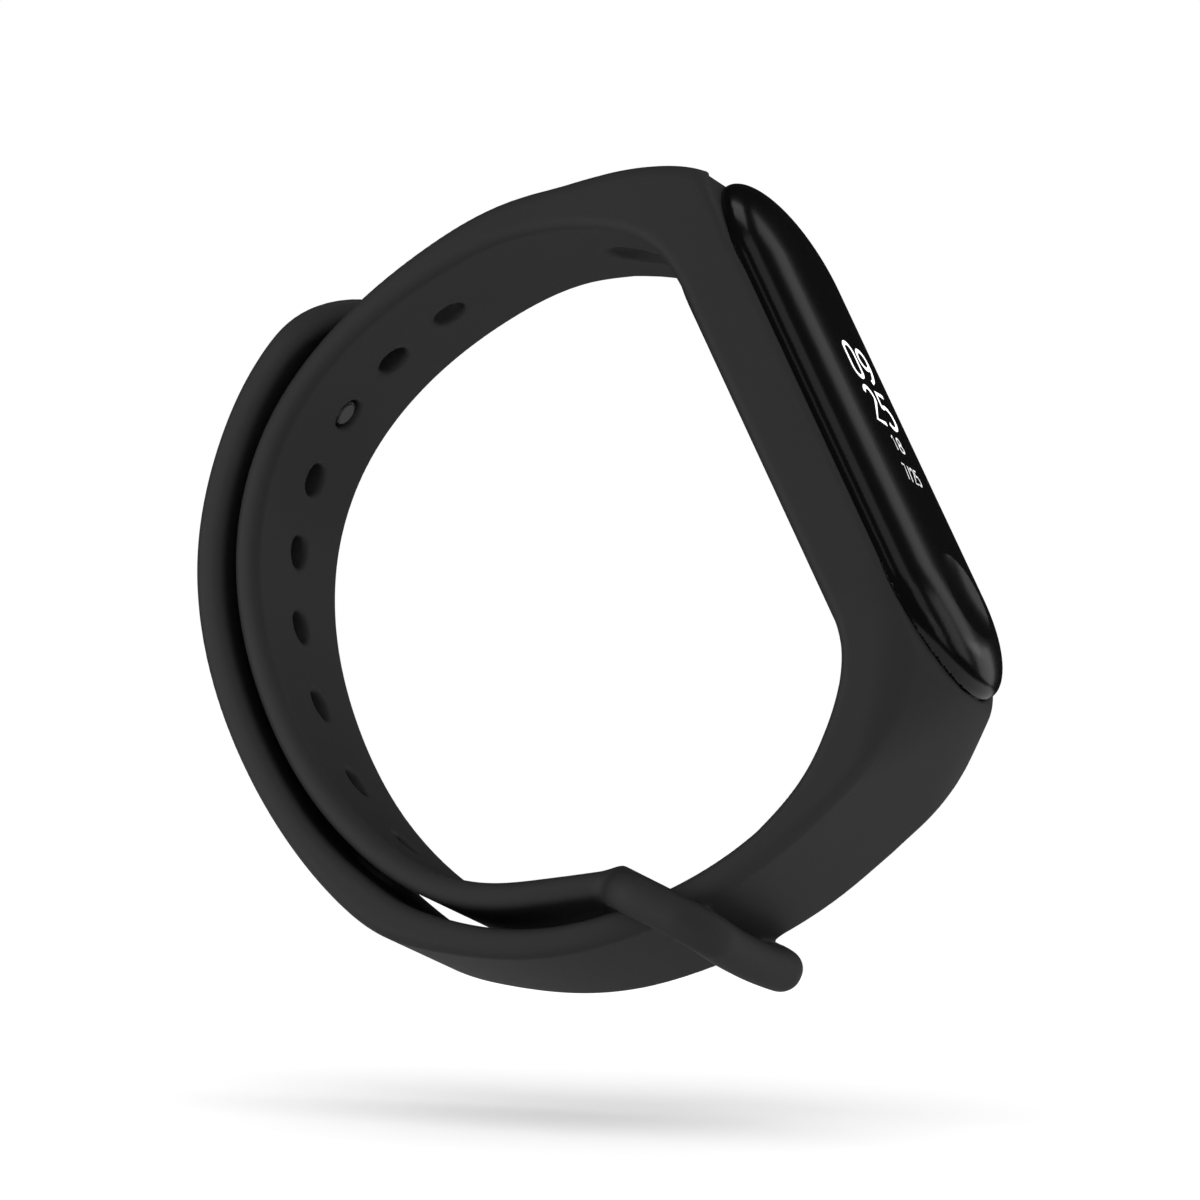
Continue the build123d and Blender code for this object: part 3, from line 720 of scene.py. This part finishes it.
def make_numerals(name, text, top, width, height, pitch, stroke):
    """Thin lit strokes in the middle of the lens, their top at a place along the capsule."""
    curve = bpy.data.curves.new(name, "CURVE")
    curve.dimensions = "3D"
    curve.bevel_depth = stroke / 2 * MM
    curve.bevel_resolution = 3
    curve.use_fill_caps = True
    left = -(len(text) - 1) * pitch / 2 - width / 2
    for i, letter in enumerate(text):
        for stroke_points in glyphs[letter]:
            spline = curve.splines.new("POLY")
            spline.points.add(len(stroke_points) - 1)
            for point, (u, v) in zip(spline.points, stroke_points):
                side = left + i * pitch + u * width
                down = top + v / 2 * height
                point.co = (down * MM, side * MM, 0, 1)
    crown = rim_centre + out_dir * CROWN_HEIGHT
    flat = Matrix.Diagonal((1, 1, NUMERAL_FLATNESS, 1))
    base = Matrix((
        (key_dir[0], 0, out_dir[0], crown[0] * MM),
        (0, 1, 0, 0),
        (key_dir[2], 0, out_dir[2], crown[2] * MM),
        (0, 0, 0, 1),
    ))
    piece = bpy.data.objects.new(name, curve)
    bpy.context.scene.collection.objects.link(piece)
    evaluated = piece.evaluated_get(bpy.context.evaluated_depsgraph_get())
    mesh = bpy.data.meshes.new_from_object(evaluated)
    mesh.transform(base @ flat)
    bpy.data.objects.remove(piece)
    piece = bpy.data.objects.new(name, mesh)
    bpy.context.scene.collection.objects.link(piece)
    mesh.materials.clear()
    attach(piece, "tracker")
    return piece


# Name and text, then the top along the capsule, width, height, pitch and stroke in mm.
big_text = [
    make_numerals(*line) for line in (
        ("numerals_hours", "09", -7.75, 1.8, 3.05, 2.6, 0.40),
        ("numerals_minutes", "25", -3.75, 1.8, 3.15, 2.6, 0.40),
    )
]
small_text = [
    make_numerals(*line) for line in (
        ("numerals_small", "18", 0.45, 0.8, 1.3, 1.1, 0.20),
        ("numerals_date", "7/25", 3.2, 0.55, 1.4, 0.78, 0.18),
    )
]


# ---------------------------------------------------------------- materials
def new_material(name):
    material = bpy.data.materials.new(name)
    material.use_nodes = True
    return material, material.node_tree, material.node_tree.nodes["Principled BSDF"]


def moulded(name, color, roughness, grain, bump, variation=0.15, metallic=0.0):
    """A surface whose grain and bump are in mm: colour and roughness vary a little too."""
    material, tree, shader = new_material(name)
    place = tree.nodes.new("ShaderNodeTexCoord")
    fine = tree.nodes.new("ShaderNodeTexNoise")
    fine.inputs["Scale"].default_value = 1 / (grain * MM)
    fine.inputs["Detail"].default_value = 3.0
    broad = tree.nodes.new("ShaderNodeTexNoise")
    broad.inputs["Scale"].default_value = 1 / (BROAD_PATCH * MM)
    broad.inputs["Detail"].default_value = 2.0
    for noise in (fine, broad):
        tree.links.new(place.outputs["Object"], noise.inputs["Vector"])
    tint = tree.nodes.new("ShaderNodeMapRange")
    tint.inputs["To Min"].default_value = 1 - variation
    tint.inputs["To Max"].default_value = 1 + variation
    tree.links.new(broad.outputs["Fac"], tint.inputs["Value"])
    scale = tree.nodes.new("ShaderNodeVectorMath")
    scale.operation = "SCALE"
    scale.inputs[0].default_value = color
    tree.links.new(tint.outputs["Result"], scale.inputs["Scale"])
    tree.links.new(scale.outputs["Vector"], shader.inputs["Base Color"])
    rough = tree.nodes.new("ShaderNodeMapRange")
    rough.inputs["To Min"].default_value = roughness * (1 - ROUGHNESS_SPREAD)
    rough.inputs["To Max"].default_value = roughness * (1 + ROUGHNESS_SPREAD)
    tree.links.new(fine.outputs["Fac"], rough.inputs["Value"])
    tree.links.new(rough.outputs["Result"], shader.inputs["Roughness"])
    relief = tree.nodes.new("ShaderNodeBump")
    relief.inputs["Strength"].default_value = 1.0
    relief.inputs["Distance"].default_value = bump * MM
    tree.links.new(fine.outputs["Fac"], relief.inputs["Height"])
    tree.links.new(relief.outputs["Normal"], shader.inputs["Normal"])
    shader.inputs["Metallic"].default_value = metallic
    return material


def lit(name, strength):
    """An emitter, for the parts of the display that shine."""
    material, _, shader = new_material(name)
    shader.inputs["Base Color"].default_value = (0.8, 0.8, 0.8, 1)
    shader.inputs["Emission Color"].default_value = (1.0, 1.0, 1.0, 1)
    shader.inputs["Emission Strength"].default_value = strength
    return material


materials = {
    "silicone": moulded("silicone", (0.0235, 0.0235, 0.024), 0.62, 0.14, 0.004, 0.06),
    "stud_metal": moulded("stud_metal", (0.035, 0.035, 0.037), 0.2, 0.5, 0.0, 0.05, metallic=0.3),
    "lens_gloss": moulded("lens_gloss", (0.003, 0.003, 0.0033), 0.19, 3.0, 0.0, 0.1),
    "case_plastic": moulded("case_plastic", (0.006, 0.006, 0.0065), 0.16, 0.3, 0.0, 0.1),
    "adhesive": moulded("adhesive", (0.02, 0.02, 0.02), 0.5, 0.2, 0.002),
    "panel_glass": moulded("panel_glass", (0.01, 0.01, 0.012), 0.08, 2.0, 0.0),
    "ribbon_film": moulded("ribbon_film", (0.35, 0.16, 0.03), 0.35, 0.4, 0.001),
    "board_green": moulded("board_green", (0.02, 0.1, 0.04), 0.45, 0.3, 0.002),
    "chip_black": moulded("chip_black", (0.02, 0.02, 0.02), 0.5, 0.15, 0.002),
    "spring_steel": moulded("spring_steel", (0.55, 0.55, 0.56), 0.3, 0.2, 0.001, metallic=1.0),
    "battery_foil": moulded("battery_foil", (0.6, 0.61, 0.63), 0.35, 0.5, 0.003, metallic=1.0),
    "contact_gold": moulded("contact_gold", (0.75, 0.55, 0.2), 0.25, 0.3, 0.0, metallic=1.0),
    "window_dark": moulded("window_dark", (0.01, 0.01, 0.01), 0.08, 2.0, 0.0),
    "led_clear": moulded("led_clear", (0.35, 0.6, 0.35), 0.2, 0.5, 0.0),
}


def paint(piece, material):
    piece.data.materials.clear()
    piece.data.materials.append(material)


for part in frame["record"]["subparts"]:
    paint(nodes[part["node"]], materials[part["material_slot"]])
for piece in (silicone_strap, stud_leg_skin):
    paint(piece, materials["silicone"])
paint(capsule_lens, materials["lens_gloss"])
paint(capsule_case, materials["case_plastic"])
white_light = lit("lit_white", BIG_GLOW)
grey_light = lit("lit_grey", SMALL_GLOW)
for piece in big_text:
    paint(piece, white_light)
for piece in small_text:
    paint(piece, grey_light)


# ---------------------------------------------------------------- studio
def make_world():
    """White to the camera, a soft grey room for plain light and nearly black in reflections."""
    world = bpy.data.worlds.new("studio")
    bpy.context.scene.world = world
    world.use_nodes = True
    tree = world.node_tree
    tree.nodes.clear()
    output = tree.nodes.new("ShaderNodeOutputWorld")
    seen = tree.nodes.new("ShaderNodeBackground")
    seen.inputs["Color"].default_value = (1, 1, 1, 1)
    room = tree.nodes.new("ShaderNodeBackground")
    room.inputs["Color"].default_value = (1, 1, 1, 1)
    path = tree.nodes.new("ShaderNodeLightPath")
    level = tree.nodes.new("ShaderNodeMapRange")
    level.inputs["To Min"].default_value = ROOM_LIGHT
    level.inputs["To Max"].default_value = ROOM_MIRRORED
    tree.links.new(path.outputs["Is Glossy Ray"], level.inputs["Value"])
    tree.links.new(level.outputs["Result"], room.inputs["Strength"])
    mix = tree.nodes.new("ShaderNodeMixShader")
    tree.links.new(path.outputs["Is Camera Ray"], mix.inputs["Fac"])
    tree.links.new(room.outputs["Background"], mix.inputs[1])
    tree.links.new(seen.outputs["Background"], mix.inputs[2])
    tree.links.new(mix.outputs["Shader"], output.inputs["Surface"])


def softbox(name, direction, distance, width, height, radiance):
    """A rectangular light at a direction from the origin, facing it."""
    data = bpy.data.lights.new(name, "AREA")
    data.shape = "RECTANGLE"
    data.size = width
    data.size_y = height
    data.energy = radiance * math.pi * width * height
    light = bpy.data.objects.new(name, data)
    bpy.context.scene.collection.objects.link(light)
    towards = Vector(direction).normalized()
    light.location = towards * distance
    light.rotation_euler = towards.to_track_quat("Z", "Y").to_euler()
    light.visible_camera = False


# Name, direction from the origin, distance, width and height in metres, and radiance.
softboxes = [
    ("near_box", (0.66, -0.20, 0.72), 0.6, 0.30, 0.30, 0.40),
    ("far_box", (0.48, 0.66, 0.56), 0.6, 0.16, 0.40, 0.50),
    ("lip_box", (0.19, -0.84, 0.50), 0.6, 0.16, 0.16, 0.32),
    ("mid_near_box", (0.92, -0.10, 0.38), 0.6, 0.24, 0.24, 0.42),
    ("low_near_box", (0.99, 0.02, 0.05), 0.6, 0.20, 0.22, 0.50),
    ("low_far_box", (0.80, 0.52, 0.30), 0.6, 0.18, 0.30, 0.50),
    ("end_box", (0.45, 0.87, 0.18), 0.6, 0.24, 0.20, 0.50),
    ("top_box", (0.20, 0.15, 0.96), 0.6, 0.24, 0.24, 0.75),
    ("left_box", (-0.75, -0.65, 0.0), 0.15, 0.12, 0.12, 1.05),
]


def floor_material():
    """White card for the camera, darker for the light it sends back up to the band."""
    material, tree, shader = new_material("white_floor")
    shader.inputs["Roughness"].default_value = 1.0
    shader.inputs["Specular IOR Level"].default_value = 0.0
    path = tree.nodes.new("ShaderNodeLightPath")
    value = tree.nodes.new("ShaderNodeMapRange")
    value.inputs["To Min"].default_value = FLOOR_BOUNCE
    value.inputs["To Max"].default_value = FLOOR_SEEN
    tree.links.new(path.outputs["Is Camera Ray"], value.inputs["Value"])
    tree.links.new(value.outputs["Result"], shader.inputs["Base Color"])
    return material


def make_floor():
    """A white surface tilted a little towards the camera, low enough to clear the band."""
    level = Vector((math.cos(VIEW_AZIMUTH), math.sin(VIEW_AZIMUTH), 0))
    behind = Vector((-math.sin(VIEW_AZIMUTH), math.cos(VIEW_AZIMUTH), 0))
    slope = behind * math.cos(FLOOR_TILT) + Vector((0, 0, math.sin(FLOOR_TILT)))
    start = Vector((0, 0, -FLOOR_DEPTH))
    mesh = bpy.data.meshes.new("floor")
    corners = [
        start + level * a * FLOOR_HALF_WIDTH + slope * b * FLOOR_HALF_DEPTH
        for a, b in ((-1, -1), (1, -1), (1, 1), (-1, 1))
    ]
    mesh.from_pydata([tuple(corner) for corner in corners], [], [(0, 1, 2, 3)])
    floor = bpy.data.objects.new("floor", mesh)
    bpy.context.scene.collection.objects.link(floor)
    paint(floor, floor_material())


make_world()
for box in softboxes:
    softbox(*box)
make_floor()
bpy.context.scene.view_settings.view_transform = "Standard"
